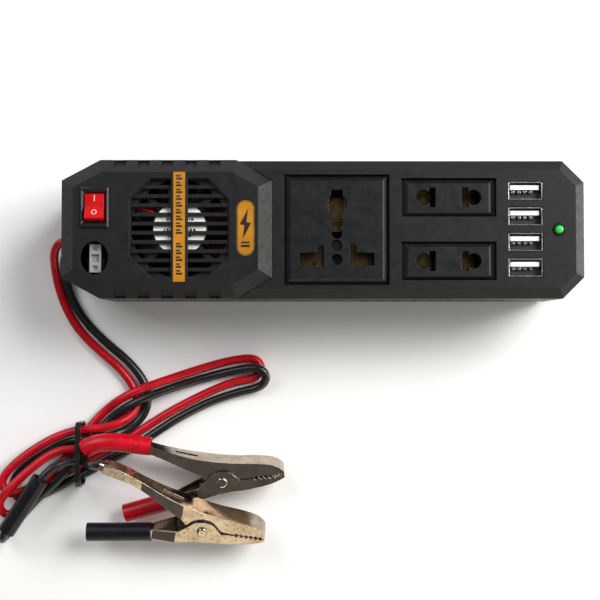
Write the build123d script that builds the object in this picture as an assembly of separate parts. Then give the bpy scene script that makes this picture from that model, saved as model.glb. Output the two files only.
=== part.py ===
"""Power inverter with universal, two-pin and USB outlets, and clamp-ended supply leads.

Frame: origin at the centre of the housing's footprint on the table, +Z out of the outlet
face, +X towards the USB end, +Y across the housing away from the leads. Millimetres.
"""
from build123d import *
import math
import os

os.makedirs("parts", exist_ok=True)

# ---- driving dimensions ----
LENGTH, WIDTH = 204.0, 54.0
FOOT_H, SPLIT_Z, DECK_Z, TOP_Z, HOOD_Z = 2.0, 21.0, 41.0, 44.0, 49.0
WALL = 2.0
LEFT_CUT, RIGHT_CUT = (14.5, 8.0), (8.4, 8.4)
TOP_BEVEL = 3.8
HOOD_RIGHT, HOOD_CUT_L, HOOD_CUT_R = -20.0, (15.0, 8.0), (14.0, 8.0)
HOOD_BEVEL, HOOD_SKIRT = 5.3, 3.0
FIT = 0.15
SCREW_POSTS = [(-79.5, 20.3), (-79.5, -20.3), (93.0, 17.0), (93.0, -17.0)]

FAN = (-55.7, 0.0)
FAN_SIZE, FAN_Z0, FAN_Z1 = 40.0, 36.4, 46.4
GRILLE_ACROSS, GRILLE_CUT = 38.5, 8.2
SLOT_PITCH, SLOT_W, RIB_W = 3.55, 2.1, 6.5

SWITCH = (-88.3, 7.9)
ROCKER_Z, ROCKER_TILT, ROCKER_R = 47.9, 11.0, 5.45
FUSE = (-88.4, -11.5)

SOCKET = (5.1, -0.2)
SOCKET_HOLE, SOCKET_FLAT = (41.0, 43.0), (35.9, 38.2)
TWO_PIN_X, TWO_PIN_Y = 48.6, (12.4, -12.4)
TWO_PIN_HOLE, TWO_PIN_FLAT = (37.2, 15.0), (31.5, 10.7)
RIM_Z = 42.5
USB_X, USB_Y = 78.5, (15.0, 5.0, -5.0, -15.0)
LAMP = (91.8, 0.0)

LEAD_D = 3.6
SHEET = 0.9


def save(shape, name):
    if isinstance(shape, (list, tuple)):
        shape = Compound(children=[s for p in shape for s in Part(p.wrapped).solids()])
    export_step(shape, "parts/" + name + ".step")
    return shape


def at(x, y, z=0.0):
    return Pos(x, y, z)


def box(x0, x1, y0, y1, z0, z1):
    return Pos((x0 + x1) / 2, (y0 + y1) / 2, (z0 + z1) / 2) * Box(x1 - x0, y1 - y0, z1 - z0)


def cyl(r, x, y, z0, z1):
    return Pos(x, y, (z0 + z1) / 2) * Cylinder(r, z1 - z0)


def cut_corner_sketch(x0, x1, y0, y1, left, right):
    """Rectangle with its left and right corners cut; left and right are (x, y) legs."""
    (lx, ly), (rx, ry) = left, right
    return Polygon((x0 + lx, y0), (x1 - rx, y0), (x1, y0 + ry), (x1, y1 - ry), (x1 - rx, y1),
                   (x0 + lx, y1), (x0, y1 - ly), (x0, y0 + ly), align=None)


def inset(sketch, d):
    return offset(sketch, -d, kind=Kind.INTERSECTION)


def prism(sketch, z0, z1, taper=0.0):
    return extrude(Pos(0, 0, z0) * sketch, amount=z1 - z0, dir=(0, 0, 1), taper=taper)


def slope(plan, rise):
    return math.degrees(math.atan2(plan, rise))


HOUSING = cut_corner_sketch(-LENGTH / 2, LENGTH / 2, -WIDTH / 2, WIDTH / 2, LEFT_CUT, RIGHT_CUT)
HOOD = cut_corner_sketch(-LENGTH / 2, HOOD_RIGHT, -WIDTH / 2, WIDTH / 2, HOOD_CUT_L, HOOD_CUT_R)


# ---- housing ----
BOARD_Z = 9.0
BOARD_POSTS = [(x, y) for x in (-68.0, -21.0, 68.0) for y in (-18.0, 18.0)]
GROMMET_Y, GROMMET_Z = -3.2, 12.0


def bottom_shell():
    foot_chamfer = 1.5
    body = prism(inset(HOUSING, foot_chamfer), FOOT_H, FOOT_H + foot_chamfer, taper=-45)
    body += prism(HOUSING, FOOT_H + foot_chamfer, SPLIT_Z)
    body -= prism(inset(HOUSING, WALL), FOOT_H + WALL, SPLIT_Z + 1)
    for x, y in SCREW_POSTS:
        body += cyl(3.3, x, y, FOOT_H + 1, SPLIT_Z)
        body -= cyl(1.7, x, y, FOOT_H - 1, SPLIT_Z + 1)
        body -= cyl(3.0, x, y, FOOT_H - 1, FOOT_H + 1.6)
    for x, y in BOARD_POSTS:
        body += cyl(3.0, x, y, FOOT_H + 1, BOARD_Z)
        body -= cyl(1.2, x, y, FOOT_H + 2.5, BOARD_Z + 1)
    for i in range(9):
        for side in (-1, 1):
            x = 16.0 + 7.0 * i
            body -= box(x, x + 2.6, side * 25.5 - 3, side * 25.5 + 3, 8.0, 17.0)
    body -= box(-103, -99, GROMMET_Y - 4.6, GROMMET_Y + 4.6, GROMMET_Z - 3.1, GROMMET_Z + 3.1)
    return body


def top_shell():
    body = prism(HOUSING, SPLIT_Z, DECK_Z)
    body += prism(HOUSING, DECK_Z, TOP_Z, taper=slope(TOP_BEVEL, TOP_Z - DECK_Z))
    hollow = prism(inset(HOUSING, WALL), SPLIT_Z - 1, 39.0)
    ceiling = prism(inset(HOUSING, WALL + 1.5), 38.9, TOP_Z - 2.2)
    hood_bay = prism(offset(HOOD, FIT, kind=Kind.INTERSECTION), DECK_Z, TOP_Z + 2)
    right_bay = box(HOOD_RIGHT + 2.2, 120, -40, 40, 38.0, 50)
    body -= hollow
    body -= ceiling & right_bay
    body -= hood_bay
    body -= prism(inset(HOOD, 6.5), 38.0, DECK_Z + 1)
    body -= box(SOCKET[0] - SOCKET_HOLE[0] / 2, SOCKET[0] + SOCKET_HOLE[0] / 2,
                SOCKET[1] - SOCKET_HOLE[1] / 2, SOCKET[1] + SOCKET_HOLE[1] / 2, 40, 50)
    for y in TWO_PIN_Y:
        body -= box(TWO_PIN_X - TWO_PIN_HOLE[0] / 2, TWO_PIN_X + TWO_PIN_HOLE[0] / 2,
                    y - TWO_PIN_HOLE[1] / 2, y + TWO_PIN_HOLE[1] / 2, 40, 50)
    for y in USB_Y:
        body -= box(USB_X - 6.9, USB_X + 6.9, y - 3.75, y + 3.75, 40, 50)
    body -= cyl(2.5, *LAMP, 40, 50)
    for x, y in SCREW_POSTS:
        body += cyl(3.3, x, y, SPLIT_Z, 42.0)
        body -= cyl(1.25, x, y, SPLIT_Z - 1, 36.0)
    lip = prism(inset(HOUSING, WALL + 0.2), SPLIT_Z - 2, SPLIT_Z + 2)
    lip -= prism(inset(HOUSING, WALL + 1.4), SPLIT_Z - 3, SPLIT_Z + 3)
    rail = prism(inset(HOUSING, WALL - 0.5), SPLIT_Z, SPLIT_Z + 2)
    rail -= prism(inset(HOUSING, WALL + 1.4), SPLIT_Z - 1, SPLIT_Z + 3)
    for x, y in SCREW_POSTS:
        lip -= cyl(3.6, x, y, SPLIT_Z - 3, SPLIT_Z)
    return body + (lip + rail)


NOTCH_X = [-79.1 + 9.17 * i for i in range(5)]


def fan_hood():
    tilt = slope(HOOD_BEVEL, HOOD_Z - TOP_Z)
    body = prism(HOOD, DECK_Z, TOP_Z) + prism(HOOD, TOP_Z, HOOD_Z, taper=tilt)
    hollow = prism(inset(HOOD, 2.4), DECK_Z - 1, TOP_Z)
    hollow += prism(inset(HOOD, 2.4), TOP_Z, 46.8, taper=tilt)
    body -= hollow
    half = GRILLE_ACROSS / 2
    cut = (GRILLE_CUT, GRILLE_CUT)
    grille = cut_corner_sketch(FAN[0] - half, FAN[0] + half, -half, half, cut, cut)
    rib = box(FAN[0] - RIB_W / 2, FAN[0] + RIB_W / 2, -30, 30, 40, 60)
    body -= prism(grille, HOOD_Z - 1.0, HOOD_Z + 1) - rib
    field = prism(inset(grille, 0.6), 46, HOOD_Z)
    for i in range(11):
        y = (i - 5) * SLOT_PITCH
        slot = box(FAN[0] - half, FAN[0] + half, y - SLOT_W / 2, y + SLOT_W / 2, 46, HOOD_Z)
        body -= (slot & field) - rib
    body -= box(*STRIP_BOX[:4], HOOD_Z - 0.4, HOOD_Z + 1)
    body -= prism(stadium(BADGE, 6.8, 21.6), HOOD_Z - 0.4, HOOD_Z + 1)
    depth = 1.0
    length = math.hypot(HOOD_BEVEL, HOOD_Z - TOP_Z)
    for x in NOTCH_X:
        for side in (-1, 1):
            edge = Pos(x, side * WIDTH / 2, TOP_Z) * Rot(side * -(90 - tilt), 0, 0)
            body -= edge * Pos(0, -side * 2.1, 2.0 - depth) * Box(4.5, 4.6, 4.0)
    body -= box(SWITCH[0] - 5.0, SWITCH[0] + 5.0, SWITCH[1] - 7.2, SWITCH[1] + 7.2, 40, 60)
    body -= prism(ellipse_at(FUSE, 10.8, 12.9), 40, 60)
    for x, y in fan_corners():
        body -= cyl(1.2, x, y, 46, HOOD_Z - 1.0)
    return body


BADGE = (-30.2, 0.0)
STRIP_BOX = (FAN[0] - 2.5, FAN[0] + 2.45, -20.9, 21.9)


def stadium(centre, w, l):
    return Pos(*centre) * Rot(0, 0, 90) * SlotOverall(l, w)


def ellipse_at(centre, w, l):
    return Pos(*centre) * Ellipse(w / 2, l / 2)


def fan_corners():
    return [(FAN[0] + i * 16.0, FAN[1] + j * 16.0) for i in (-1, 1) for j in (-1, 1)]


save(bottom_shell(), "bottom_shell")
save(top_shell(), "top_shell")
save(fan_hood(), "fan_hood")
x0, x1, y0, y1 = STRIP_BOX
save(box(x0 + 0.05, x1 - 0.05, y0 + 0.05, y1 - 0.05, HOOD_Z - 0.4, HOOD_Z), "label_strip")
save(prism(stadium(BADGE, 6.7, 21.5), HOOD_Z - 0.4, HOOD_Z), "rating_badge")
save([cyl(4.5, x, y, 0, FOOT_H) for x in (-72, 80) for y in (-20, 20)], "rubber_feet")
save([cyl(2.8, x, y, FOOT_H + 0.2, FOOT_H + 1.6) + cyl(1.25, x, y, FOOT_H + 1.5, 34.0)
      for x, y in SCREW_POSTS], "case_screws")


# ---- rocker switch ----
def switch_housing():
    x, y = SWITCH
    flange = at(x, y) * Rectangle(11.0, 15.7)
    well = at(x, y) * Rectangle(7.9, 11.2)
    body = prism(flange, HOOD_Z, HOOD_Z + 0.6)
    body += prism(flange, HOOD_Z + 0.6, HOOD_Z + 1.2, taper=40)
    body += box(x - 4.9, x + 4.9, y - 7.1, y + 7.1, 30.0, HOOD_Z + 0.1)
    body -= prism(well, 42.0, HOOD_Z + 2)
    body -= prism(well, HOOD_Z + 0.1, HOOD_Z + 1.3, taper=-40)
    return body


def rocker():
    arm = 8.0
    keep = Polygon((-arm, -2.6), (arm, -2.6), (arm, 3.1), (0, 1.7), (-arm, 3.1), align=None)
    profile = Circle(ROCKER_R) & keep
    body = extrude(Plane.YZ * profile, amount=3.7, both=True)
    pin = Rot(0, 90, 0) * Cylinder(0.9, 7.4)
    return Pos(*SWITCH, ROCKER_Z) * Rot(-ROCKER_TILT, 0, 0) * (body + pin)


save(switch_housing(), "switch_housing")
save(rocker(), "switch_rocker")
save([box(SWITCH[0] - 2.4, SWITCH[0] + 2.4, SWITCH[1] + y - 0.4, SWITCH[1] + y + 0.4, 22.0, 30.0)
      for y in (-5, 0, 5)], "switch_terminals")


# ---- blade fuse ----
def fuse_holder():
    x, y = FUSE
    body = box(x - 4.5, x + 4.5, y - 7.4, y + 7.4, 26.0, 38.8)
    body -= box(x - 2.6, x + 2.6, y - 6.0, y + 6.0, 38.0, 45)
    for s in (-1, 1):
        body -= box(x - 0.6, x + 0.6, y + s * 3.7 - 1.6, y + s * 3.7 + 1.6, 29.0, 39)
    return body


def fuse_blade(side):
    x, y = FUSE[0], FUSE[1] + side * 3.7
    return box(x - 0.35, x + 0.35, y - 1.2, y + 1.2, 30.5, 45.0)


def blade_fuse_body():
    """Clear body round both blades, with a window over each and a sunk middle."""
    x, y = FUSE
    body = box(x - 2.25, x + 2.25, y - 5.5, y + 5.5, 38.2, 46.2)
    body -= box(x - 1.5, x + 1.5, y - 1.6, y + 1.6, 44.6, 47)
    for side in (-1, 1):
        body -= fuse_blade(side)
        body -= box(x - 0.9, x + 0.9, y + side * 3.7 - 0.9, y + side * 3.7 + 0.9, 45.0, 47)
    return body


save(fuse_holder(), "fuse_holder")
save(blade_fuse_body(), "fuse_body")
save([fuse_blade(side) for side in (-1, 1)], "fuse_blades")


# ---- fan ----
FAN_HUB_R, FAN_BORE_R, FAN_PLATE = 10.7, 18.9, 1.6


def fan_wires():
    """Two thin wires from the fixed hub to the frame, one each side of their line."""
    start, end = (-10.1, 5.8), (-17.6, 8.0)
    wires = []
    for side in (-0.5, 0.5):
        a, b = [Vector(FAN[0] + x, FAN[1] + y + side, FAN_Z1 - 0.6) for x, y in (start, end)]
        path = Plane(origin=a, z_dir=b - a)
        wires.append(extrude(path * Circle(0.42), amount=(b - a).length))
    return wires


def fan_frame():
    """Square frame with its bearing hub held by four struts on the grille side."""
    half = FAN_SIZE / 2
    body = box(FAN[0] - half, FAN[0] + half, -half, half, FAN_Z0, FAN_Z1)
    body -= cyl(FAN_BORE_R, *FAN, FAN_Z0 - 1, FAN_Z1 - FAN_PLATE)
    ring = cyl(FAN_BORE_R, *FAN, FAN_Z1 - FAN_PLATE - 0.1, FAN_Z1 + 1)
    ring -= cyl(FAN_HUB_R, *FAN, FAN_Z1 - 2, FAN_Z1 + 2)
    for i in range(4):
        ring -= Pos(*FAN, FAN_Z1) * Rot(0, 0, 45 + 90 * i) * Pos(14.5, 0, 0) * Box(12, 2.2, 9)
    body -= ring
    body += cyl(2.6, *FAN, FAN_Z1 - 4.5, FAN_Z1 - 1)
    body -= cyl(1.05, *FAN, FAN_Z1 - 6, FAN_Z1 - 0.8)
    for x, y in fan_corners():
        body -= cyl(1.7, x, y, FAN_Z0 - 1, FAN_Z1 + 1)
    for wire in fan_wires():
        body -= wire
    return body


def fan_rotor():
    hub = cyl(FAN_HUB_R, *FAN, FAN_Z0 + 0.5, FAN_Z1 - 2.4)
    hub -= cyl(9.2, *FAN, FAN_Z0 + 2.0, FAN_Z1 - 2.0)
    blades = None
    count = 7
    for i in range(count):
        blade = Pos(14.1, 0, 0) * Rot(32, 0, 0) * Box(7.4, 10.2, 0.9)
        blade = Pos(*FAN, (FAN_Z0 + FAN_Z1) / 2 - 0.7) * Rot(0, 0, 360 / count * i) * blade
        blades = blade if blades is None else blades + blade
    shaft = cyl(1.0, *FAN, FAN_Z0 + 1.6, FAN_Z1 - 1.0)
    return hub + blades + shaft


save(fan_frame(), "fan_frame")
save(fan_rotor(), "fan_rotor")
save(fan_wires(), "fan_wires")
save(cyl(10.2, *FAN, FAN_Z1, FAN_Z1 + 0.2), "fan_label")
save([cyl(2.6, x, y, FAN_Z0 - 1.4, FAN_Z0) + cyl(1.15, x, y, FAN_Z0 - 1, 47.6)
      for x, y in fan_corners()], "fan_screws")


# ---- universal socket ----
def framed_insert(centre, hole, flat, flange=1.5):
    """Outlet insert: flange under the cover, neck through it, and a bevelled face."""
    x, y = centre
    gap = 0.2
    neck = (hole[0] - 2 * gap, hole[1] - 2 * gap)
    body = Pos(x, y, 40.95) * Box(hole[0] + 2 * flange, hole[1] + 2 * flange, 1.5)
    body += Pos(x, y, 42.05) * Box(neck[0], neck[1], 0.9)
    bevel = min(neck[0] - flat[0], neck[1] - flat[1]) / 2
    base = Rectangle(flat[0] + 2 * bevel, flat[1] + 2 * bevel)
    return body + prism(Pos(x, y) * base, RIM_Z, TOP_Z, taper=slope(bevel, TOP_Z - RIM_Z))


def pin_holes(z0, z1):
    """Live and neutral apertures mirrored about the pin centre, and the earth keyhole."""
    cx = SOCKET[0]
    cut = box(cx - 2.35, cx + 2.35, 9.9, 15.5, z0, z1)
    cut += cyl(3.85, cx, 9.9, z0, z1) + cyl(2.4, cx, 2.5, z0, z1)
    cut += box(cx - 1.1, cx + 1.1, -2, 8, z0, z1) + cyl(2.2, cx, -1.65, z0, z1)
    for side in (-1, 1):
        outer, inner = cx + side * 14.6, cx + side * 5.1
        cut += box(min(outer, inner), max(outer, inner), -14.1, -9.2, z0, z1)
        edge = cx + side * 7.7
        cut += box(min(edge, inner), max(edge, inner), -14.7, -6.2, z0, z1)
        cut += cyl(2.7, cx + side * 9.5, -11.65, z0, z1)
    return cut


SCREW_HOLES = [(SOCKET[0], -6.4), (SOCKET[0], -11.9)]


def socket_face():
    body = framed_insert(SOCKET, SOCKET_HOLE, SOCKET_FLAT) - pin_holes(39, 46)
    for x, y in SCREW_HOLES:
        body -= cyl(2.2, x, y, 39, 46)
    return body


SOCKET_BODY_Z = (23.0, 40.1)


def socket_body():
    cx = SOCKET[0]
    body = Pos(*SOCKET, sum(SOCKET_BODY_Z) / 2) * Box(38.0, 38.5, SOCKET_BODY_Z[1] - SOCKET_BODY_Z[0])
    floor = 24.5
    for side in (-1, 1):
        a, b = cx + side * 4.0, cx + side * 15.8
        body -= box(min(a, b), max(a, b), -16.2, -5.2, floor, 41)
    body -= box(cx - 5.0, cx + 5.0, -3.2, 16.8, floor, 41)
    body -= cyl(2.05, *SCREW_HOLES[0], 35, 41)
    return body


def contact_cup(x0, x1, y0, y1, z0, z1, leaf=0.5):
    """Spring contact: a brass channel open at the top and at both ends."""
    return box(x0, x1, y0, y1, z0, z1) - box(x0 - 1, x1 + 1, y0 + leaf, y1 - leaf, z0 + leaf, z1 + 1)


def socket_contacts():
    cx = SOCKET[0]
    contacts = []
    for side in (-1, 1):
        a, b = cx + side * 5.2, cx + side * 14.8
        contacts.append(contact_cup(min(a, b), max(a, b), -14.6, -6.0, 25.0, 39.5))
    turned = contact_cup(0.5, 14.5, -3.6, 3.6, 25.0, 39.5)
    contacts.append(Pos(cx, 0, 0) * Rot(0, 0, 90) * turned)
    return contacts


save(socket_face(), "universal_socket_face")
save(socket_body(), "universal_socket_body")
save(socket_contacts(), "universal_socket_contacts")
save(cyl(2.0, *SCREW_HOLES[0], 36.0, 42.6), "socket_fixing_screw")


# ---- two-pin sockets ----
def two_pin_holes(y, z0, z1):
    cut = None
    for x, w in ((-6.3, 2.6), (6.4, 2.6)):
        piece = box(TWO_PIN_X + x - w / 2, TWO_PIN_X + x + w / 2, y - 3.9, y + 3.9, z0, z1)
        cut = piece if cut is None else cut + piece
    for x in (-9.7, 9.8):
        cut += cyl(3.0, TWO_PIN_X + x, y, z0, z1)
    return cut


def two_pin_body(y):
    body = box(TWO_PIN_X - 17.5, TWO_PIN_X + 17.5, y - 7.0, y + 7.0, 24.5, 40.1)
    for side in (-1, 1):
        a, b = TWO_PIN_X + side * 4.2, TWO_PIN_X + side * 13.6
        body -= box(min(a, b), max(a, b), y - 4.9, y + 4.9, 26.0, 41)
    return body


def two_pin_contacts(y):
    contacts = []
    for side in (-1, 1):
        a, b = TWO_PIN_X + side * 4.8, TWO_PIN_X + side * 13.0
        contacts.append(contact_cup(min(a, b), max(a, b), y - 4.6, y + 4.6, 26.3, 39.5))
    return contacts


for name, y in (("upper", TWO_PIN_Y[0]), ("lower", TWO_PIN_Y[1])):
    face = framed_insert((TWO_PIN_X, y), TWO_PIN_HOLE, TWO_PIN_FLAT, flange=1.2)
    save(face - two_pin_holes(y, 39, 46), name + "_two_pin_face")
    save(two_pin_body(y), name + "_two_pin_body")
    save(two_pin_contacts(y), name + "_two_pin_contacts")


# ---- USB ports ----
USB_BOARD_Z = 26.0


def usb_shell(y):
    body = box(USB_X - 6.65, USB_X + 6.65, y - 3.5, y + 3.5, 27.8, TOP_Z - 0.2)
    return body - box(USB_X - 6.3, USB_X + 6.3, y - 3.15, y + 3.15, 29.0, 46)


save([usb_shell(y) for y in USB_Y], "usb_port_shells")
save([box(USB_X - 5.6, USB_X + 5.6, y + 0.5, y + 2.3, 29.0, TOP_Z - 1.4) for y in USB_Y],
     "usb_tongues")
save([box(USB_X + 2.5 * (k - 1.5) - 0.6, USB_X + 2.5 * (k - 1.5) + 0.6, y + 0.2, y + 0.5,
          29.0, TOP_Z - 1.8) for y in USB_Y for k in range(4)], "usb_contacts")
save(box(70.2, 87.0, -20.5, 20.5, USB_BOARD_Z, USB_BOARD_Z + 1.6), "usb_board")

# ---- pilot lamp ----
save(cyl(1.5, *LAMP, 38.0, TOP_Z + 0.1) + Pos(*LAMP, TOP_Z + 0.1) * Sphere(1.5)
     + cyl(1.9, *LAMP, 37.0, 38.2), "pilot_lamp")
save(cyl(2.4, *LAMP, 40.5, TOP_Z + 0.6) - cyl(1.6, *LAMP, 40, 46), "pilot_lamp_ring")


# ---- electronics ----
def main_board():
    body = box(-75, 75, -22, 22, BOARD_Z, BOARD_Z + 1.6)
    for x, y in BOARD_POSTS:
        body -= cyl(1.6, x, y, BOARD_Z - 1, BOARD_Z + 3)
    return body


def transformer_core():
    body = box(-60, -28, -12, 12, 11.2, 32.0)
    for side in (-1, 1):
        y = side * 7.5
        body -= box(-55, -33, y - 3.0, y + 3.0, 10, 33)
    return body


def winding():
    return box(-54.6, -33.4, -10.2, 10.2, 13.0, 30.0) - box(-60, -28, -4.6, 4.6, 11, 33)


def heat_sink(y):
    side = 1 if y > 0 else -1
    body = box(-14, 62, min(y, y - side * 2), max(y, y - side * 2), 10.7, 21.5)
    for i in range(10):
        x = -12 + 8 * i
        body += box(x, x + 1.4, min(y, y + side * 2.6), max(y, y + side * 2.6), 10.7, 21.5)
    return body


save(main_board(), "main_board")
save([cyl(2.6, x, y, BOARD_Z + 1.6, BOARD_Z + 3.4) + cyl(1.15, x, y, 5.0, BOARD_Z + 2)
      for x, y in BOARD_POSTS], "board_screws")
save(transformer_core(), "transformer_core")
save([s for s in winding().solids()], "transformer_winding")
save([cyl(5.0, x, y, 10.7, 30.0) for x, y in ((-66, 8), (-66, -8))], "input_capacitors")
save(Pos(12, 0, 16.4) * Rot(0, 90, 0) * Cylinder(5.6, 26), "high_voltage_capacitor")
save([heat_sink(19.0), heat_sink(-19.0)], "heat_sinks")
save([box(x - 5, x + 5, side * 14.9 - 2.0, side * 14.9 + 2.0, 10.7, 21.0)
      for x in (0, 15, 34, 50) for side in (-1, 1)], "power_transistors")


# ---- cable grommet ----
LEAD_Y = (-1.2, -5.2)


def cable_grommet():
    body = box(-104.0, -102.2, GROMMET_Y - 5.4, GROMMET_Y + 5.4, GROMMET_Z - 4.0, GROMMET_Z + 4.0)
    body += box(-102.3, -99.0, GROMMET_Y - 4.5, GROMMET_Y + 4.5, GROMMET_Z - 3.0, GROMMET_Z + 3.0)
    body = chamfer(body.edges().group_by(Axis.X)[0], 0.8)
    for y in LEAD_Y:
        body -= Pos(-101, y, GROMMET_Z) * Rot(0, 90, 0) * Cylinder(LEAD_D / 2, 12)
    return body


save(cable_grommet(), "cable_grommet")
save(box(-98.6, -86.0, GROMMET_Y - 5.5, GROMMET_Y + 5.5, 5.2, 9.8), "terminal_block")


# ---- battery clamps ----
HALF_PIVOT, HALF_NESTED, HALF_TIP, HALF_HANDLE = 6.0, 4.75, 5.0, 2.7
HANDLE_END_UP = (-43.0, 20.3)
CLAMPS = {
    "red": Pos(-41.45, -100.21, 8.36) * Rot(0, 0, 6.3) * Rot(16, 0, 0),
    "black": Pos(-49.18, -118.78, 13.5) * Rot(0, 0, -8.8) * Rot(0, 5.0, 0) * Rot(26, 0, 0),
}


def plan_sketch(pivot, tip, handle, handle_x, heel=-9.0):
    """Half-widths along the pin, as an outline seen from the clamp's back."""
    edge = [(25.8, tip), (15.0, tip), (7.2, pivot), (heel, pivot), (handle_x, handle),
            (-48.0, handle)]
    return Polygon(*edge, *[(x, -z) for x, z in reversed(edge)], align=None)


def profile(back, edge):
    """Side view between a smooth back line and an edge line cut in short straights."""
    return make_face(Spline(*back) + Polyline(back[-1], *edge, back[0]))


def channel(outer, inner, plan, plan_inner):
    """Folded sheet channel: side profiles in XY, widths along Z from the plan."""
    def solid(side, top_view):
        across = extrude(Plane.XY * side, amount=10, both=True)
        return across & extrude(Plane.XZ * top_view, amount=40, both=True)
    return solid(outer, plan) - solid(inner, plan_inner)


def teeth(edge_y, depth):
    cuts = None
    for i in range(6):
        x = 13.0 + 2.0 * i
        notch = Polygon((x, edge_y), (x + 1.0, edge_y + depth), (x + 2.0, edge_y), align=None)
        cut = extrude(notch, amount=9, both=True)
        cuts = cut if cuts is None else cuts + cut
    return cuts


def pressed_bowl(outline):
    """Shallow hollow pressed into both cheeks by the tip, with upright ribs left in it."""
    depth = 0.35
    lens = Polygon(*outline, align=None)
    for i in range(5):
        lens -= Pos(14.2 + 2.1 * i, 0) * Rectangle(0.55, 30)
    near = extrude(Pos(0, 0, HALF_TIP - depth) * lens, amount=2)
    return near + mirror(near, about=Plane.XY)


def upper_jaw():
    back = [(25.8, 1.4), (22.5, 4.2), (18.6, 5.4), (7.5, 6.9), (0, 8.2), (-11, 11.1), (-18, 13.6),
            (-25, 16.6), (-31, 19.4), (-43, 22.6)]
    edge = [(-43, 19.0), (-31, 15.8), (-24, 12.2), (-16, 7.6), (-8.4, 3.2), (-6.2, 0.4),
            (-3.6, -1.2), (-2.0, -3.1), (3.2, -3.2), (6.4, -1.2), (10, 0.15), (25.8, 0.15)]
    under = [(x - (1.2 if x > 20 else 0.0), y - SHEET) for x, y in back[:-1]] + [(-50, 23.4)]
    plan = plan_sketch(HALF_NESTED, HALF_TIP, HALF_HANDLE, -27.0)
    plan_in = plan_sketch(HALF_NESTED - SHEET, HALF_TIP - SHEET, HALF_HANDLE - SHEET, -27.0)
    body = channel(profile(back, edge), profile(under, [(-50, -9), (24.6, -9)]), plan, plan_in)
    body -= Cylinder(1.5, 20)
    body -= box(-18.0, -9.0, 7.0, 17.0, -0.8, 0.8)
    body -= teeth(0.1, 0.9)
    body -= pressed_bowl([(14.0, 1.5), (14.6, 4.9), (18, 4.6), (22, 3.2), (24.4, 1.5)])
    crimp = Pos(-42.6, HANDLE_END_UP[1], 0) * Rot(0, 0, -12) * Rot(0, 90, 0)
    return body + crimp * Cylinder(2.5, 5.0) - crimp * Cylinder(LEAD_D / 2, 9.0)


def lower_jaw():
    back = [(-40, -12.7), (-25, -10.0), (-12, -7.2), (0, -5.0), (12, -4.5), (20, -3.4), (25.8, -1.2)]
    edge = [(25.8, -0.15), (7.6, -0.15), (6.2, 1.5), (4.4, 3.3), (2.3, 4.3), (0, 4.6), (-2.4, 4.2),
            (-4.6, 3.0), (-7.0, 0.6), (-10, -1.8), (-25, -6.3), (-40, -9.0)]
    under = [(-50, -13.3)] + [(x - (1.2 if x > 20 else 0.0), y + SHEET) for x, y in back[1:]]
    plan = plan_sketch(HALF_PIVOT, HALF_TIP, HALF_HANDLE, -20.0, -10.5)
    plan_in = plan_sketch(HALF_PIVOT - SHEET, HALF_TIP - SHEET, HALF_HANDLE - SHEET, -20.0, -10.5)
    body = channel(profile(back, edge), profile(under, [(24.6, 9), (-50, 9)]), plan, plan_in)
    body -= Cylinder(1.56, 20)
    body -= pressed_bowl([(14.0, -1.4), (24.0, -1.2), (19, -2.5), (14.0, -3.2)])
    return body - teeth(-0.1, -0.9)


def rivet():
    head = Cylinder(2.2, 1.0)
    head = fillet(head.edges().sort_by(Axis.Z)[-1], 0.7)
    head = Pos(0, 0, HALF_PIVOT + 0.5) * head
    return Cylinder(1.5, 2 * HALF_PIVOT) + head + mirror(head, about=Plane.XY)


def clamp_spring():
    wire = 0.6
    coils = None
    for i in range(4):
        ring = Pos(0, 0, (i - 1.5) * 1.1) * Torus(2.5, wire)
        coils = ring if coils is None else coils + ring
    upper_leg = Pos(0, 2.5, 1.65) * Rot(0, 0, 158) * Pos(5, 0, 0) * Rot(0, 90, 0) * Cylinder(wire, 10)
    lower_leg = Pos(0, -2.5, -1.65) * Rot(0, 0, 184) * Pos(5, 0, 0) * Rot(0, 90, 0) * Cylinder(wire, 10)
    return coils + upper_leg + lower_leg


def tube_between(a, b, outer, inner):
    """Straight sleeve from a to b."""
    a, b = Vector(*a), Vector(*b)
    path = Plane(origin=a, z_dir=b - a)
    ring = Circle(outer / 2) - Circle(inner / 2)
    return extrude(path * ring, amount=(b - a).length)


def sleeve_along(points, outer, inner):
    """Sleeve bent smoothly through the points."""
    path = Spline(*points)
    ring = Plane(origin=path @ 0, z_dir=path % 0) * (Circle(outer / 2) - Circle(inner / 2))
    return sweep(ring, path=path)


SLEEVE_D, SLEEVE_BORE = 7.6, 6.5
LOWER_SLEEVE = {"red": 22.0, "black": 26.0}
for colour, place in CLAMPS.items():
    save(place * upper_jaw(), colour + "_clamp_upper_jaw")
    save(place * lower_jaw(), colour + "_clamp_lower_jaw")
    save(place * rivet(), colour + "_clamp_rivet")
    save(place * clamp_spring(), colour + "_clamp_spring")
    run = LOWER_SLEEVE[colour]
    low = tube_between((-20.5, -7.5, 0), (-20.5 - run, -7.5 - 0.176 * run, 0), SLEEVE_D, SLEEVE_BORE)
    save(place * low, colour + "_clamp_lower_sleeve")
bend = [(CLAMPS["red"] * Pos(x, y, 0)).position for x, y in ((-27.6, 16.9), (-36.5, 19.1), (-43.5, 20.6))]
save(sleeve_along(bend + [Vector(-98.0, -88.0, 12.5)], SLEEVE_D, SLEEVE_BORE), "red_clamp_upper_sleeve")


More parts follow.
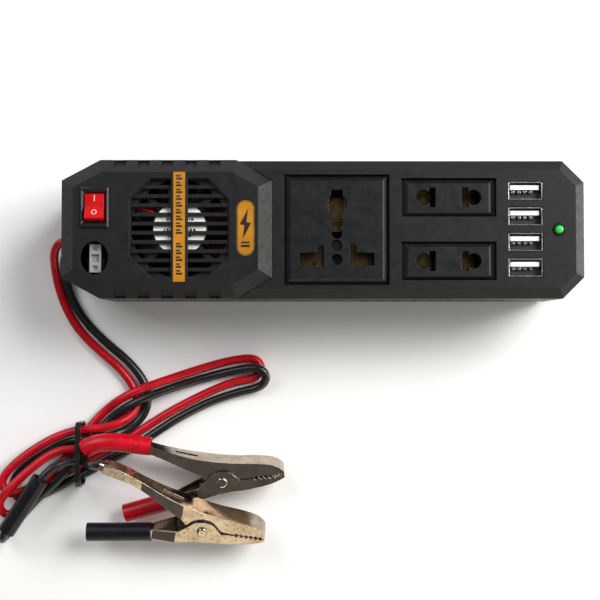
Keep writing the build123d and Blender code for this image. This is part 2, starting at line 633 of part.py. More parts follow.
# ---- supply leads ----
RED_ROUTE = [
    (-98, -1.2, 12), (-107.5, -1.2, 12), (-112.3, -5.5, 9.5), (-112.6, -14, 4.5), (-111, -23, 1.9),
    (-107.6, -31.5, 1.9), (-102.4, -39.9, 1.9), (-94.2, -47.8, 1.9), (-84.4, -56, 1.9),
    (-78.6, -64.5, 1.9), (-77.8, -71, 1.9), (-80.6, -75.6, 3.6), (-86.4, -78.6, 6.2),
    (-93, -80.4, 6.8), (-101, -80.6, 6.8), (-109.5, -82.8, 6.4), (-118.7, -87.6, 6),
    (-127.2, -93.6, 5.8), (-133, -99.4, 5.8), (-134.4, -104.2, 5.8), (-131.2, -107.8, 6.1),
    (-126.4, -106.9, 4.4), (-120.6, -104.6, 2.2), (-114, -102, 1.9), (-107.2, -98.8, 1.9),
    (-100.5, -94.8, 2.8), (-93.5, -91, 2.2), (-84, -86.4, 1.9), (-75.2, -80.6, 1.9),
    (-64.8, -73.8, 1.9), (-51, -66.6, 1.9), (-37.5, -60.8, 1.9), (-27.4, -59.4, 1.9),
    (-25.2, -54.6, 1.9), (-28.2, -50.8, 1.9), (-36.5, -51.4, 1.9), (-49, -54.6, 1.9),
    (-61.5, -58.7, 2.8), (-73, -62.6, 5.8), (-83, -66.9, 5.8), (-91.2, -72.6, 2.4),
    (-97.2, -79, 2.8), (-102, -86.4, 2.8), (-107.6, -92.9, 4.6), (-113.6, -98.2, 6.4),
    (-119.4, -104.4, 6.6), (-124.6, -111, 6.9), (-128.6, -116, 6.2), (-133, -116, 7),
    (-134.8, -111.6, 8.8), (-131.8, -106.8, 10.2), (-127, -102, 10), (-121.6, -97, 8.8),
    (-115.6, -92.2, 7.4), (-109.6, -89.2, 7.4), (-103.6, -88.5, 9.6), (-97.5, -87.9, 12.6),
    (-91, -86.5, 13.65),
]
BLACK_ROUTE = [
    (-98, -5.2, 12), (-104.5, -5.2, 12), (-108.2, -9.4, 9), (-108.6, -16, 4.4),
    (-106.8, -23.6, 1.9), (-103.4, -30.6, 1.9), (-98.6, -37.2, 1.9), (-91.3, -44.3, 1.9),
    (-81.4, -52.4, 1.9), (-74.4, -61.4, 1.9), (-73.2, -70.2, 1.9), (-76.4, -76.8, 1.9),
    (-82.4, -81.2, 3.2), (-89, -83.6, 6.4), (-95.5, -84.4, 6.8), (-102, -84.8, 7),
    (-109.5, -86.6, 4), (-116.8, -90.6, 2.6), (-123.6, -94.8, 2), (-128.7, -99.4, 1.9),
    (-131.2, -105.6, 1.9), (-127.7, -110.6, 1.9), (-120.9, -109.8, 1.9), (-111.9, -105.6, 1.9),
    (-103.9, -101.6, 2.6), (-97.4, -98.2, 2.8), (-90.5, -94.4, 2.2), (-81, -89.4, 1.9),
    (-72, -83.6, 1.9), (-61.5, -76.6, 1.9), (-48.5, -69.8, 1.9), (-36, -65.4, 2),
    (-25.6, -63.2, 3.2), (-22.9, -58.8, 5.8), (-25.8, -54.8, 6.4), (-33.5, -55.2, 5.2),
    (-45.5, -58.1, 1.9), (-59, -62, 2.6), (-70, -65.8, 5.8), (-80, -70.2, 6.4), (-88.4, -75.6, 2.8),
    (-94.2, -81.7, 2.6), (-99.3, -89, 2.8), (-104.8, -96, 6.6), (-111.6, -102.8, 6.6),
    (-118.4, -108.8, 6.4), (-125.6, -116.4, 3.2), (-132.2, -124.6, 1.9), (-133.7, -126.8, 6.4),
    (-132.3, -124.7, 10.8), (-128.9, -118.4, 11.6), (-124.5, -112.7, 12.1), (-116.5, -101, 13.3),
    (-111.6, -95.8, 12.8), (-106.4, -93.8, 10.6), (-101.4, -93, 9.6), (-97.4, -93.8, 12.8),
    (-95.2, -93.9, 19), (-92.8, -93.7, 24.4), (-88.8, -93.5, 26.65),
]


def lead(route, name):
    """Round lead along straight runs joined by the largest tangent arcs they allow."""
    points = [Vector(*p) for p in route]
    radii = []
    for a, b, c in zip(points, points[1:], points[2:]):
        turn = math.radians((b - a).get_angle(c - b))
        radii.append(0.45 * min((b - a).length, (c - b).length) / math.tan(turn / 2))
    path = FilletPolyline(*points, radius=radii)
    section = Plane(origin=points[0], z_dir=points[1] - points[0]) * Circle(LEAD_D / 2)
    tube = sweep(section, path=path)
    expected = math.pi * LEAD_D ** 2 / 4 * path.length
    print(name, "length", round(path.length, 1), "tightest radii", [round(r, 1) for r in sorted(radii)[:6]],
          "volume ratio", round(tube.volume / expected, 4))
    return save(tube, name)


lead(RED_ROUTE, "red_lead")
lead(BLACK_ROUTE, "black_lead")
save(tube_between((-116.2, -100.5, 13.35), (-130.8, -122.4, 11.0), 7.2, 4.7), "slid_sleeve")


# ---- wire tie round the folded leads ----
TIE_X, TIE_W, TIE_T = -101.0, 2.2, 0.8


def wire_tie():
    y0, y1, z1 = -104.0, -77.4, 13.8
    loop = box(TIE_X - TIE_W / 2, TIE_X + TIE_W / 2, y0, y1, 0.0, z1)
    loop = chamfer(loop.edges().filter_by(Axis.X), 2.2)
    hole = box(TIE_X - TIE_W, TIE_X + TIE_W, y0 + TIE_T, y1 - TIE_T, TIE_T, z1 - TIE_T)
    loop -= chamfer(hole.edges().filter_by(Axis.X), 1.9)
    return loop


save(wire_tie(), "wire_tie")
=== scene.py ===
"""Looks for the power inverter: materials, cords, printed marks, camera and light."""
import math

import bmesh
import bpy
from mathutils import Matrix, Vector


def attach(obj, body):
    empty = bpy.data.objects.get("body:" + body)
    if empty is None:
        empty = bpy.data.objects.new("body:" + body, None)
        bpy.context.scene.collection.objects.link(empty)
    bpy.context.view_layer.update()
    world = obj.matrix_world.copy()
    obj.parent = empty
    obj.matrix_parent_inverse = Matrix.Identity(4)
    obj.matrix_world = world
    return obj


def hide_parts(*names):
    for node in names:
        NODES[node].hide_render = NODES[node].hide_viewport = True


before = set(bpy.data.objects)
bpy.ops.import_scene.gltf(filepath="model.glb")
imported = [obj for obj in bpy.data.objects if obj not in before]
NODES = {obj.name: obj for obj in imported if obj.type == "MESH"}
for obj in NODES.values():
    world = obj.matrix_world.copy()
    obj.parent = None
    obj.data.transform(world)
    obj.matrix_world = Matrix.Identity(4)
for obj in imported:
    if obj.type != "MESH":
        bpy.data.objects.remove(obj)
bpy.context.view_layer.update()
MM = 0.001


# ---- camera ----
# Half a metre above the table, and looking almost straight down. The tilt is in degrees.
CAMERA_PLACE = (-0.0092, -0.0416, 0.500)
CAMERA_TILT = 1.76

camera_data = bpy.data.cameras.new("camera")
camera_data.sensor_width = 36.0
camera_data.lens = 70.5
camera = bpy.data.objects.new("camera", camera_data)
camera.location = CAMERA_PLACE
camera.rotation_euler = (math.radians(CAMERA_TILT), 0.0, 0.0)
bpy.context.scene.collection.objects.link(camera)
bpy.context.scene.camera = camera


# ---- material building blocks ----
class Look:
    """A material being made: its node tree, and short ways to add and join nodes."""

    def __init__(self, name):
        self.material = bpy.data.materials.new(name)
        self.material.use_nodes = True
        self.tree = self.material.node_tree
        self.shader = self.tree.nodes["Principled BSDF"]
        self.coords = self.add("ShaderNodeTexCoord").outputs["Object"]

    def add(self, kind, **settings):
        node = self.tree.nodes.new(kind)
        for key, value in settings.items():
            setattr(node, key, value)
        return node

    def join(self, source, target):
        self.tree.links.new(source, target)

    def stretched(self, scale):
        mapping = self.add("ShaderNodeMapping")
        mapping.inputs["Scale"].default_value = scale
        self.join(self.coords, mapping.inputs["Vector"])
        return mapping.outputs["Vector"]

    def noise(self, size, detail=3.0, vector=None):
        """Noise whose blotches are about `size` metres across, from 0 to 1."""
        node = self.add("ShaderNodeTexNoise")
        node.inputs["Scale"].default_value = 1.0 / size
        node.inputs["Detail"].default_value = detail
        self.join(vector or self.coords, node.inputs["Vector"])
        return node.outputs["Fac"]

    def remap(self, source, low, high, start=0.3, end=0.7):
        node = self.add("ShaderNodeMapRange")
        for socket, value in zip(("From Min", "From Max", "To Min", "To Max"),
                                 (start, end, low, high)):
            node.inputs[socket].default_value = value
        self.join(source, node.inputs["Value"])
        return node.outputs["Result"]

    def mixed(self, factor, a, b):
        node = self.add("ShaderNodeMix", data_type="RGBA")
        self.join(factor, node.inputs[0])
        for socket, value in ((node.inputs[6], a), (node.inputs[7], b)):
            if isinstance(value, bpy.types.NodeSocket):
                self.join(value, socket)
            else:
                socket.default_value = (*value, 1.0)
        return node.outputs[2]

    def math(self, operation, a, b=None):
        node = self.add("ShaderNodeMath", operation=operation)
        for socket, value in zip(node.inputs, (a, b)):
            if isinstance(value, bpy.types.NodeSocket):
                self.join(value, socket)
            elif value is not None:
                socket.default_value = value
        return node.outputs[0]

    def rounded_edges(self, radius):
        node = self.add("ShaderNodeBevel", samples=4)
        node.inputs["Radius"].default_value = radius
        return node.outputs["Normal"]

    def edge_mask(self, rounded):
        """1 on a sharp edge and 0 on a flat face."""
        geometry = self.add("ShaderNodeNewGeometry")
        dot = self.add("ShaderNodeVectorMath", operation="DOT_PRODUCT")
        self.join(rounded, dot.inputs[0])
        self.join(geometry.outputs["Normal"], dot.inputs[1])
        return self.remap(dot.outputs["Value"], 1.0, 0.0, 0.86, 0.99)

    def bump(self, height, distance, strength, normal):
        node = self.add("ShaderNodeBump")
        node.inputs["Strength"].default_value = strength
        node.inputs["Distance"].default_value = distance
        self.join(height, node.inputs["Height"])
        self.join(normal, node.inputs["Normal"])
        return node.outputs["Normal"]

    def set(self, **sockets):
        for name, value in sockets.items():
            self.shader.inputs[name.replace("_", " ")].default_value = value
        return self


def shade(colour, factor):
    return tuple(min(1.0, c * factor) for c in colour)


def moulded(name, colour, rough, grain=0.30 * MM, relief=0.4, edge=0.25 * MM, worn=1.8, **sockets):
    """Moulded plastic: fine spark grain, faint mottling, and edges rubbed a little lighter."""
    look = Look(name)
    mottle = look.remap(look.noise(9 * MM, 4.0), 0.0, 1.0)
    grain_noise = look.noise(grain, 2.0)
    smear = look.noise(3 * MM, 5.0)
    base = look.mixed(mottle, shade(colour, 0.82), shade(colour, 1.2))
    rounded = look.rounded_edges(edge)
    mask = look.math("MULTIPLY", look.edge_mask(rounded), look.remap(smear, 0.15, 0.9))
    base = look.mixed(mask, base, shade(colour, worn))
    look.join(base, look.shader.inputs["Base Color"])
    shine = look.math("MULTIPLY", look.remap(smear, rough * 0.82, rough * 1.12),
                      look.remap(grain_noise, 0.94, 1.08))
    look.join(shine, look.shader.inputs["Roughness"])
    look.join(look.bump(grain_noise, 0.02 * MM, relief, rounded), look.shader.inputs["Normal"])
    return look.set(**sockets).material


def metal(name, colour, tint, rough, brush=(1.0, 1.0, 1.0), relief=0.25, edge=0.2 * MM, **sockets):
    """Plated or plain sheet metal: cloudy tint, drawn lines, small scratches and dull spots."""
    look = Look(name)
    cloud = look.remap(look.noise(5 * MM, 4.0), 0.0, 1.0)
    lines = look.noise(0.5 * MM, 4.0, look.stretched(brush))
    spots = look.remap(look.noise(1.2 * MM, 5.0), 0.0, 1.0, 0.56, 0.72)
    rounded = look.rounded_edges(edge)
    base = look.mixed(cloud, colour, tint)
    base = look.mixed(spots, base, shade(tint, 0.62))
    base = look.mixed(look.edge_mask(rounded), base, shade(colour, 1.25))
    look.join(base, look.shader.inputs["Base Color"])
    shine = look.math("ADD", look.remap(lines, rough * 0.7, rough * 1.3),
                      look.math("MULTIPLY", spots, 0.16))
    look.join(shine, look.shader.inputs["Roughness"])
    look.join(look.bump(lines, 0.02 * MM, relief, rounded), look.shader.inputs["Normal"])
    return look.set(Metallic=1.0, **sockets).material


def soft_pvc(name, colour, rough, wrinkle=0.25, **sockets):
    """Flexible PVC: glossy skin with slow waviness, pale scuffs and a little dust."""
    look = Look(name)
    wave = look.noise(4 * MM, 2.0)
    skin = look.noise(0.6 * MM, 3.0)
    scuff = look.remap(look.noise(1.6 * MM, 6.0), 0.0, 0.5, 0.58, 0.75)
    rounded = look.rounded_edges(0.3 * MM)
    base = look.mixed(look.remap(wave, 0.0, 1.0), shade(colour, 0.8), shade(colour, 1.15))
    base = look.mixed(scuff, base, tuple(0.75 * c + 0.02 for c in colour))
    look.join(base, look.shader.inputs["Base Color"])
    look.join(look.math("ADD", look.remap(skin, rough * 0.85, rough * 1.15),
                        look.math("MULTIPLY", scuff, 0.25)), look.shader.inputs["Roughness"])
    height = look.math("ADD", look.math("MULTIPLY", wave, 4.0), skin)
    look.join(look.bump(height, 0.03 * MM, wrinkle, rounded), look.shader.inputs["Normal"])
    return look.set(**sockets).material


# ---- materials ----
CASE = moulded("case_black", (0.0060, 0.0064, 0.0078), 0.46, Specular_IOR_Level=0.34)
INSERT = moulded("insert_black", (0.0060, 0.0064, 0.0074), 0.38, grain=0.22 * MM,
                 Specular_IOR_Level=0.40)
INNER = moulded("inner_plastic", (0.006, 0.006, 0.0065), 0.5)
FAN_BLACK = moulded("fan_black", (0.006, 0.006, 0.007), 0.36, relief=0.1)
SWITCH = moulded("switch_black", (0.009, 0.009, 0.010), 0.28, relief=0.15)
ROCKER = moulded("rocker_red", (0.56, 0.002, 0.006), 0.30, relief=0.1, worn=1.1,
                 Specular_IOR_Level=0.3, Coat_Weight=0.1, Coat_Roughness=0.15)
LABEL = moulded("fan_label_white", (0.80, 0.80, 0.74), 0.5, grain=0.12 * MM, relief=0.1, worn=1.0)
GOLD = moulded("label_gold", (0.56, 0.235, 0.010), 0.36, grain=0.15 * MM, relief=0.1, worn=1.1,
               Metallic=0.25)
PRINT = moulded("print_black", (0.008, 0.007, 0.007), 0.45, grain=0.1 * MM, relief=0.1)
WHITE_PRINT = moulded("print_white", (0.85, 0.72, 0.70), 0.5, grain=0.1 * MM, relief=0.1, worn=1.0)
USB_WHITE = moulded("usb_white", (0.86, 0.86, 0.85), 0.34, relief=0.08, worn=1.0)
TINNED = metal("tinned_metal", (0.80, 0.79, 0.77), (0.62, 0.60, 0.57), 0.2, (1.0, 1.0, 8.0))
BRASS = metal("contact_brass", (0.42, 0.30, 0.13), (0.22, 0.14, 0.06), 0.24, (1.0, 1.0, 8.0))
# Near-black screw metal: painted shade for the fixing screw deep in its hole.
SCREW_PAINTED_SHADE = metal("screw_painted_shade", (0.055, 0.052, 0.050), (0.035, 0.033, 0.032), 0.3)
STEEL = metal("screw_steel", (0.60, 0.59, 0.57), (0.44, 0.43, 0.41), 0.28)
NICKEL = metal("clamp_nickel", (0.52, 0.44, 0.36), (0.36, 0.28, 0.21), 0.15, (1.0, 3.0, 1.0),
               relief=0.4)
SPRING = metal("spring_steel", (0.32, 0.30, 0.27), (0.20, 0.18, 0.16), 0.3)
ALUMINIUM = metal("sink_aluminium", (0.70, 0.70, 0.71), (0.58, 0.58, 0.60), 0.32, (1.0, 1.0, 10.0))
COPPER = metal("winding_copper", (0.22, 0.075, 0.03), (0.12, 0.036, 0.014), 0.34, (1.0, 1.0, 30.0))
BOARD = moulded("board_green", (0.010, 0.090, 0.028), 0.34, relief=0.1, worn=2.0)
FERRITE = moulded("core_ferrite", (0.022, 0.021, 0.020), 0.62, relief=0.6)
CAPACITOR = moulded("capacitor_sleeve", (0.010, 0.016, 0.060), 0.3, relief=0.1)
TRANSISTOR = moulded("transistor_black", (0.010, 0.010, 0.011), 0.5)
FEET = moulded("feet_rubber", (0.010, 0.010, 0.010), 0.8, relief=0.7)
RING = moulded("ring_black", (0.007, 0.007, 0.008), 0.25, relief=0.1)
RED_LEAD = soft_pvc("lead_red", (0.46, 0.001, 0.010), 0.30, Specular_IOR_Level=0.35,
                    Coat_Weight=0.1, Coat_Roughness=0.22)
BLACK_LEAD = soft_pvc("lead_black", (0.006, 0.006, 0.007), 0.30, Coat_Weight=0.12,
                      Coat_Roughness=0.22)
RED_SLEEVE = soft_pvc("sleeve_red", (0.52, 0.001, 0.012), 0.32, 0.5,
                      Specular_IOR_Level=0.35, Coat_Weight=0.1, Coat_Roughness=0.25)
BLACK_SLEEVE = soft_pvc("sleeve_black", (0.004, 0.004, 0.007), 0.34, 0.5,
                        Specular_IOR_Level=0.35, Coat_Weight=0.06, Coat_Roughness=0.25)
TIE = soft_pvc("tie_black", (0.008, 0.008, 0.009), 0.3)
FUSE_CLEAR = moulded("fuse_clear", (0.60, 0.61, 0.62), 0.14, grain=0.7 * MM, relief=1.0, worn=1.3,
                     Transmission_Weight=0.45, IOR=1.5, Coat_Weight=0.5)
LAMP = moulded("lamp_green", (0.010, 0.42, 0.055), 0.12, relief=0.05, worn=1.3,
               Transmission_Weight=0.25, Coat_Weight=0.6, Emission_Color=(0.02, 0.75, 0.10, 1.0),
               Emission_Strength=0.45)

MATERIALS = {
    "case_black": (CASE, "bottom_shell top_shell fan_hood"),
    "insert_black": (INSERT, "universal_socket_face upper_two_pin_face lower_two_pin_face"),
    "inner_plastic": (INNER, "universal_socket_body upper_two_pin_body lower_two_pin_body "
                             "fuse_holder terminal_block cable_grommet"),
    "fan_black": (FAN_BLACK, "fan_frame fan_rotor"),
    "fan_label_white": (LABEL, "fan_label"),
    "switch_black": (SWITCH, "switch_housing"),
    "rocker_red": (ROCKER, "switch_rocker"),
    "fuse_clear": (FUSE_CLEAR, "fuse_body"),
    "tinned_metal": (TINNED, "switch_terminals fuse_blades usb_port_shells"),
    "contact_brass": (BRASS, "universal_socket_contacts upper_two_pin_contacts "
                             "lower_two_pin_contacts usb_contacts"),
    "usb_white": (USB_WHITE, "usb_tongues"),
    "board_green": (BOARD, "main_board usb_board"),
    "screw_steel": (STEEL, "fan_screws case_screws board_screws socket_fixing_screw"),
    "lamp_green": (LAMP, "pilot_lamp"),
    "ring_black": (RING, "pilot_lamp_ring"),
    "label_gold": (GOLD, "label_strip rating_badge"),
    "feet_rubber": (FEET, "rubber_feet"),
    "core_ferrite": (FERRITE, "transformer_core"),
    "winding_copper": (COPPER, "transformer_winding"),
    "capacitor_sleeve": (CAPACITOR, "input_capacitors high_voltage_capacitor"),
    "sink_aluminium": (ALUMINIUM, "heat_sinks"),
    "transistor_black": (TRANSISTOR, "power_transistors"),
    "sleeve_red": (RED_SLEEVE, "red_clamp_upper_sleeve red_clamp_lower_sleeve"),
    "sleeve_black": (BLACK_SLEEVE, "black_clamp_lower_sleeve slid_sleeve"),
    "tie_black": (TIE, "wire_tie"),
    "clamp_nickel": (NICKEL, "red_clamp_upper_jaw red_clamp_lower_jaw red_clamp_rivet "
                             "black_clamp_upper_jaw black_clamp_lower_jaw black_clamp_rivet"),
    "spring_steel": (SPRING, "red_clamp_spring black_clamp_spring"),
}
for slot_name, (material, names) in MATERIALS.items():
    for name in names.split():
        NODES[name].data.materials.clear()
        NODES[name].data.materials.append(material)
# The socket fixing screw sits deep in its hole, and its near-black colour is painted shade.
NODES["socket_fixing_screw"].data.materials[0] = SCREW_PAINTED_SHADE

# Of the fan's two wires the one nearer the switch is red, and the other black.
wires = NODES["fan_wires"].data
wires.materials.clear()
wires.materials.append(RED_LEAD)
wires.materials.append(BLACK_LEAD)
wire_line_start, wire_line_end = Vector((-65.8, 5.8)) * MM, Vector((-73.3, 8.0)) * MM
wire_line = wire_line_end - wire_line_start
for polygon in wires.polygons:
    offset = polygon.center.to_2d() - wire_line_start
    polygon.material_index = int(wire_line.x * offset.y - wire_line.y * offset.x > 0.0)


# ---- supply leads ----
RED_ROUTE = [
    (-98, -1.2, 12), (-107.5, -1.2, 12), (-112.3, -5.5, 9.5), (-112.6, -14, 4.5), (-111, -23, 1.9),
    (-107.6, -31.5, 1.9), (-102.4, -39.9, 1.9), (-94.2, -47.8, 1.9), (-84.4, -56, 1.9),
    (-78.6, -64.5, 1.9), (-77.8, -71, 1.9), (-80.6, -75.6, 3.6), (-86.4, -78.6, 6.2),
    (-93, -80.4, 6.8), (-101, -80.6, 6.8), (-109.5, -82.8, 6.4), (-118.7, -87.6, 6),
    (-127.2, -93.6, 5.8), (-133, -99.4, 5.8), (-134.4, -104.2, 5.8), (-131.2, -107.8, 6.1),
    (-126.4, -106.9, 4.4), (-120.6, -104.6, 2.2), (-114, -102, 1.9), (-107.2, -98.8, 1.9),
    (-100.5, -94.8, 2.8), (-93.5, -91, 2.2), (-84, -86.4, 1.9), (-75.2, -80.6, 1.9),
    (-64.8, -73.8, 1.9), (-51, -66.6, 1.9), (-37.5, -60.8, 1.9), (-27.4, -59.4, 1.9),
    (-25.2, -54.6, 1.9), (-28.2, -50.8, 1.9), (-36.5, -51.4, 1.9), (-49, -54.6, 1.9),
    (-61.5, -58.7, 2.8), (-73, -62.6, 5.8), (-83, -66.9, 5.8), (-91.2, -72.6, 2.4),
    (-97.2, -79, 2.8), (-102, -86.4, 2.8), (-107.6, -92.9, 4.6), (-113.6, -98.2, 6.4),
    (-119.4, -104.4, 6.6), (-124.6, -111, 6.9), (-128.6, -116, 6.2), (-133, -116, 7),
    (-134.8, -111.6, 8.8), (-131.8, -106.8, 10.2), (-127, -102, 10), (-121.6, -97, 8.8),
    (-115.6, -92.2, 7.4), (-109.6, -89.2, 7.4), (-103.6, -88.5, 9.6), (-97.5, -87.9, 12.6),
    (-91, -86.5, 13.65),
]
BLACK_ROUTE = [
    (-98, -5.2, 12), (-104.5, -5.2, 12), (-108.2, -9.4, 9), (-108.6, -16, 4.4),
    (-106.8, -23.6, 1.9), (-103.4, -30.6, 1.9), (-98.6, -37.2, 1.9), (-91.3, -44.3, 1.9),
    (-81.4, -52.4, 1.9), (-74.4, -61.4, 1.9), (-73.2, -70.2, 1.9), (-76.4, -76.8, 1.9),
    (-82.4, -81.2, 3.2), (-89, -83.6, 6.4), (-95.5, -84.4, 6.8), (-102, -84.8, 7),
    (-109.5, -86.6, 4), (-116.8, -90.6, 2.6), (-123.6, -94.8, 2), (-128.7, -99.4, 1.9),
    (-131.2, -105.6, 1.9), (-127.7, -110.6, 1.9), (-120.9, -109.8, 1.9), (-111.9, -105.6, 1.9),
    (-103.9, -101.6, 2.6), (-97.4, -98.2, 2.8), (-90.5, -94.4, 2.2), (-81, -89.4, 1.9),
    (-72, -83.6, 1.9), (-61.5, -76.6, 1.9), (-48.5, -69.8, 1.9), (-36, -65.4, 2),
    (-25.6, -63.2, 3.2), (-22.9, -58.8, 5.8), (-25.8, -54.8, 6.4), (-33.5, -55.2, 5.2),
    (-45.5, -58.1, 1.9), (-59, -62, 2.6), (-70, -65.8, 5.8), (-80, -70.2, 6.4), (-88.4, -75.6, 2.8),
    (-94.2, -81.7, 2.6), (-99.3, -89, 2.8), (-104.8, -96, 6.6), (-111.6, -102.8, 6.6),
    (-118.4, -108.8, 6.4), (-125.6, -116.4, 3.2), (-132.2, -124.6, 1.9), (-133.7, -126.8, 6.4),
    (-132.3, -124.7, 10.8), (-128.9, -118.4, 11.6), (-124.5, -112.7, 12.1), (-116.5, -101, 13.3),
    (-111.6, -95.8, 12.8), (-106.4, -93.8, 10.6), (-101.4, -93, 9.6), (-97.4, -93.8, 12.8),
    (-95.2, -93.9, 19), (-92.8, -93.7, 24.4), (-88.8, -93.5, 26.65),
]
LEAD_D = 3.6 * MM


def lead(name, route, node, material):
    """A supply lead: one smooth round tube along its route, in place of its plain CAD tube."""
    data = bpy.data.curves.new(name, "CURVE")
    data.dimensions = "3D"
    data.resolution_u = 14
    data.bevel_depth = LEAD_D / 2
    data.bevel_resolution = 7
    data.use_fill_caps = True
    spline = data.splines.new("NURBS")
    spline.points.add(len(route) - 1)
    for point, place in zip(spline.points, route):
        point.co = (*(c * MM for c in place), 1.0)
    spline.order_u = 3
    spline.use_endpoint_u = True
    data.materials.append(material)
    obj = bpy.data.objects.new(name, data)
    bpy.context.scene.collection.objects.link(obj)
    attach(obj, "housing")
    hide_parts(node)


lead("red_supply_lead", RED_ROUTE, "red_lead", RED_LEAD)
lead("black_supply_lead", BLACK_ROUTE, "black_lead", BLACK_LEAD)


# ---- printed and raised marks ----
def piece(name, data, material, body):
    """A visible piece made here, which moves with the named body."""
    data.materials.append(material)
    obj = bpy.data.objects.new(name, data)
    bpy.context.scene.collection.objects.link(obj)
    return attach(obj, body)


def plates(outlines, z0, z1, matrix=Matrix.Identity(4)):
    """One mesh of flat plates, each an outline of (x, y) in mm stood from z0 to z1."""
    bm = bmesh.new()
    for outline in outlines:
        low = [bm.verts.new(matrix @ Vector((x * MM, y * MM, z0 * MM))) for x, y in outline]
        high = [bm.verts.new(matrix @ Vector((x * MM, y * MM, z1 * MM))) for x, y in outline]
        bm.faces.new(list(reversed(low)))
        bm.faces.new(high)
        for i in range(len(outline)):
            j = (i + 1) % len(outline)
            bm.faces.new((low[i], low[j], high[j], high[i]))
    return finished(bm)


def rims(pairs, z0, z1, matrix=Matrix.Identity(4)):
    """One mesh of closed rims, each between an inner and an outer outline of equal count."""
    bm = bmesh.new()
    for inner, outer in pairs:
        rings = [[bm.verts.new(matrix @ Vector((x * MM, y * MM, z * MM))) for x, y in outline]
                 for outline, z in ((inner, z0), (inner, z1), (outer, z1), (outer, z0))]
        count = len(inner)
        for a, b in zip(rings, rings[1:] + rings[:1]):
            for i in range(count):
                j = (i + 1) % count
                bm.faces.new((a[i], a[j], b[j], b[i]))
    return finished(bm)


def finished(bm):
    """The mesh made so far, with its faces turned outward."""
    bmesh.ops.recalc_face_normals(bm, faces=bm.faces)
    mesh = bpy.data.meshes.new("mesh")
    bm.to_mesh(mesh)
    bm.free()
    return mesh


def bar(x0, x1, y0, y1):
    """Outline of a rectangle."""
    return [(x0, y0), (x1, y0), (x1, y1), (x0, y1)]


def ring_points(x, y, radius, count=32):
    """Outline of a circle."""
    turn = 2 * math.pi / count
    return [(x + radius * math.cos(i * turn), y + radius * math.sin(i * turn))
            for i in range(count)]


def stadium(x, y, width, length, count=16):
    """Outline of an upright bar with round ends."""
    radius = width / 2
    reach = length / 2 - radius
    arc = [i * math.pi / count for i in range(count + 1)]
    return ([(x + radius * math.cos(t), y + reach + radius * math.sin(t)) for t in arc]
            + [(x - radius * math.cos(t), y - reach - radius * math.sin(t)) for t in arc])


FAN_X = -55.7
STRIP_X, STRIP_Y0, STRIP_Y1 = FAN_X, -20.9, 21.9
LABEL_Z = 49.0
PRINT_Z0, PRINT_Z1 = LABEL_Z - 0.02, LABEL_Z + 0.03
strip_bars = []
# Short bars in place of lettering, with a gap between two words.
WORD_GAP = 5
for i in range(15):
    if i != WORD_GAP:
        y = -18.0 + 2.62 * i
        wide = (1.25, 0.8, 1.25, 1.05)[i % 4]
        strip_bars.append(bar(STRIP_X - 1.2, STRIP_X + wide, y, y + 0.75))
        strip_bars.append(bar(STRIP_X - 1.2, STRIP_X + wide * 0.4, y + 1.15, y + 1.75))
piece("strip_print", plates(strip_bars, PRINT_Z0, PRINT_Z1), PRINT, "housing")
edge_lines = rims([(bar(STRIP_X - 2.28, STRIP_X + 2.23, STRIP_Y0 + 0.2, STRIP_Y1 - 0.2),
                    bar(STRIP_X - 2.44, STRIP_X + 2.39, STRIP_Y0 + 0.06, STRIP_Y1 - 0.06))],
                  PRINT_Z0, PRINT_Z1)
piece("strip_outline", edge_lines, PRINT, "housing")

BADGE = (-30.2, 0.0)
bolt = [(-1.9, 0.9), (0.9, 6.2), (0.35, 1.6), (1.9, 1.3), (-0.9, -4.0), (-0.35, 0.6)]
badge_marks = [[(BADGE[0] + 1.15 * x, BADGE[1] + 1.15 * y + 0.4) for x, y in bolt],
               bar(BADGE[0] - 1.7, BADGE[0] + 1.7, BADGE[1] - 7.4, BADGE[1] - 6.5),
               bar(BADGE[0] - 1.7, BADGE[0] + 1.7, BADGE[1] - 5.9, BADGE[1] - 5.3)]
piece("badge_print", plates(badge_marks, PRINT_Z0, PRINT_Z1), PRINT, "housing")
piece("badge_outline", rims([(stadium(*BADGE, 5.9, 20.7), stadium(*BADGE, 6.35, 21.15))],
                            PRINT_Z0, PRINT_Z1), PRINT, "housing")

ROCKER_RISE, ROCKER_HALF, ROCKER_MIDDLE = 1.4, 8.0, 1.7
ROCKER_PLACE = Matrix.Translation((-88.3 * MM, 7.9 * MM, 47.9 * MM)) @ Matrix.Rotation(
    math.radians(-11.0), 4, "X")
ROCKER_SLOPE = math.atan2(ROCKER_RISE, ROCKER_HALF)


def on_rocker(y):
    """Place of a mark on the rocker's face, which slopes up from the middle to both ends."""
    height = ROCKER_MIDDLE + abs(y) * ROCKER_RISE / ROCKER_HALF
    turn = math.copysign(ROCKER_SLOPE, y)
    return (ROCKER_PLACE @ Matrix.Translation((0.0, y * MM, height * MM))
            @ Matrix.Rotation(turn, 4, "X"))


piece("rocker_on_mark", plates([bar(-0.16, 0.16, -1.2, 1.2)], -0.02, 0.03, on_rocker(3.2)),
      WHITE_PRINT, "switch_rocker")
piece("rocker_off_mark", rims([(ring_points(0, 0, 0.78), ring_points(0, 0, 1.05))], -0.02, 0.03,
                              on_rocker(-2.3)), WHITE_PRINT, "switch_rocker")


def raised_letter(letter, x, y, size):
    """A raised letter read from the fan side of the table, so turned half round."""
    data = bpy.data.curves.new("mark_" + letter, "FONT")
    data.body = letter
    data.size = size * MM
    data.extrude = 0.08 * MM
    data.align_x = data.align_y = "CENTER"
    data.materials.append(INSERT)
    obj = bpy.data.objects.new("socket_mark_" + letter, data)
    obj.location = (x * MM, y * MM, SOCKET_FACE_Z * MM)
    obj.rotation_euler.z = math.pi
    bpy.context.scene.collection.objects.link(obj)
    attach(obj, "housing")


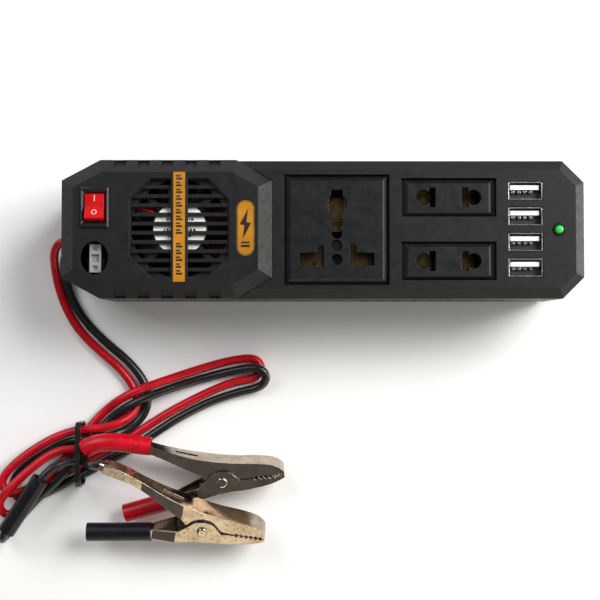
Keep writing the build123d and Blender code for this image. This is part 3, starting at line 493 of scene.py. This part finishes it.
SOCKET_FACE_Z = 44.02
raised_letter("N", -6.6, -3.9, 3.4)
raised_letter("L", 15.6, -3.9, 3.4)
earth_bars = [bar(8.9, 11.9, 15.3, 15.6), bar(9.4, 11.4, 15.9, 16.2), bar(9.9, 10.9, 16.5, 16.8),
              bar(10.25, 10.55, 13.6, 15.3)]
piece("socket_earth_mark", plates(earth_bars, 43.98, 44.12), INSERT, "housing")

# Contact pads on each USB tongue, and the port's back wall behind them: a real wall, but made black
# as painted shade for the deep port.
USB_X, USB_Y = 78.5, (15.0, 5.0, -5.0, -15.0)
pads = [bar(USB_X + 2.3 * k - 5.0, USB_X + 2.3 * k - 3.8, y - 0.75, y + 0.18)
        for y in USB_Y for k in range(4)]
piece("usb_spring_pads", plates(pads, 41.2, 42.1), TINNED, "housing")
# The back walls are black plastic here as painted shade for the dark depth of each port.
port_backs_in_shade = [bar(USB_X - 6.28, USB_X + 6.28, y - 3.12, y + 0.14) for y in USB_Y]
piece("usb_backs_painted_shade", plates(port_backs_in_shade, 38.2, 40.6), INNER, "housing")

# Printing on the fan's hub label.
label_print = []
for row, (reach, y) in enumerate(((5.2, 3.1), (6.6, 1.2), (6.2, -0.9), (4.6, -3.4))):
    x = -reach
    while x < reach:
        wide = (0.55, 0.9, 0.4, 0.7)[(row + int(x * 3)) % 4]
        label_print.append(bar(FAN_X + x, FAN_X + x + wide, y, y + 0.8))
        x += wide + 0.45
piece("fan_label_print", plates(label_print, 46.58, 46.63), PRINT, "housing")


# ---- floor, light and background ----
def area_light(name, place, aim, size, power, colour=(1.0, 1.0, 1.0)):
    data = bpy.data.lights.new(name, "AREA")
    data.shape = "RECTANGLE"
    data.size, data.size_y = size
    data.energy = power
    data.color = colour
    obj = bpy.data.objects.new(name, data)
    obj.location = place
    obj.rotation_euler = (Vector(aim) - Vector(place)).to_track_quat("-Z", "Y").to_euler()
    bpy.context.scene.collection.objects.link(obj)


floor_data = plates([bar(-2500, 2500, -2500, 2500)], -2.0, 0.0)
floor_look = Look("studio_floor")
floor_look.join(floor_look.mixed(floor_look.remap(floor_look.noise(0.12, 3.0), 0.0, 1.0),
                                 (0.90, 0.90, 0.905), (0.93, 0.93, 0.93)),
                floor_look.shader.inputs["Base Color"])
floor_look.set(Roughness=0.85)
floor_data.materials.append(floor_look.material)
floor = bpy.data.objects.new("studio_floor", floor_data)
bpy.context.scene.collection.objects.link(floor)

world = bpy.data.worlds.new("studio")
world.use_nodes = True
world.node_tree.nodes["Background"].inputs["Color"].default_value = (0.93, 0.95, 1.0, 1.0)
world.node_tree.nodes["Background"].inputs["Strength"].default_value = 0.16
bpy.context.scene.world = world
bpy.context.scene.view_settings.view_transform = "Standard"

area_light("key_soft", (0.85, 0.55, 0.95), (-0.02, -0.03, 0.0), (0.8, 0.8), 24.0, (1.0, 0.99, 0.97))
area_light("near_warm", (0.35, -1.15, 0.50), (-0.02, -0.08, 0.0), (1.3, 0.6), 3.4, (1.0, 0.90, 0.66))
area_light("left_fill", (-0.9, 0.75, 1.1), (-0.05, -0.03, 0.0), (0.9, 0.9), 9.0)
area_light("side_glow", (0.62, 0.0, 0.10), (0.0, 0.0, 0.04), (0.5, 0.24), 2.6, (1.0, 0.99, 0.93))
